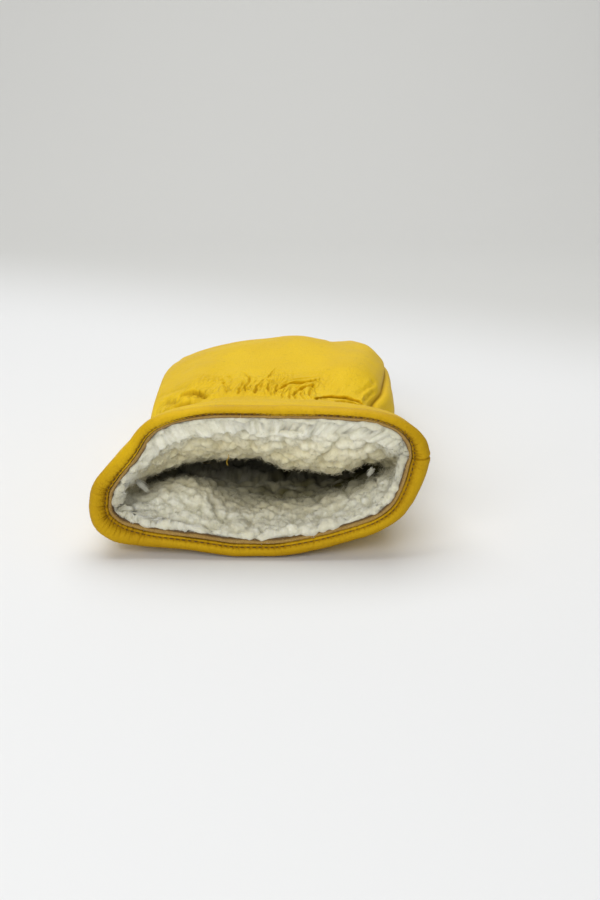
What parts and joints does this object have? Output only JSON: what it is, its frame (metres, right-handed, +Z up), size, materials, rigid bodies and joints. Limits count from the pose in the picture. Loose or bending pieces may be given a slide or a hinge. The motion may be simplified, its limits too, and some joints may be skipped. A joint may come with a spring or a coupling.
{
  "type": "mitten",
  "caption": "Leather mitten with a rolled cuff hem, a gathered wrist, a tucked thumb and a thick pile lining, lying with its back up.",
  "frame": {"origin": "middle of the underside of the mitten's box, on the surface it lies on", "axes": "+X to the little-finger side, +Y from the mouth of the cuff to the fingertips, +Z up through the back of the hand"},
  "size_m": [0.147, 0.275, 0.0681],
  "materials": {
    "back_leather": "satin, pebbled grain",
    "palm_leather": "satin, pebbled grain",
    "thumb_leather": "satin, pebbled grain",
    "hem_leather": "satin, creased across the roll",
    "raw_leather": "matte, raw edge",
    "pile": "tufted pile"
  },
  "bodies": {
    "root": {"back_panel": "back_leather", "palm_panel": "palm_leather", "thumb": "thumb_leather", "cuff_hem": "hem_leather", "hem_turn_in": "raw_leather", "lining": "pile"}
  },
  "joints": []
}
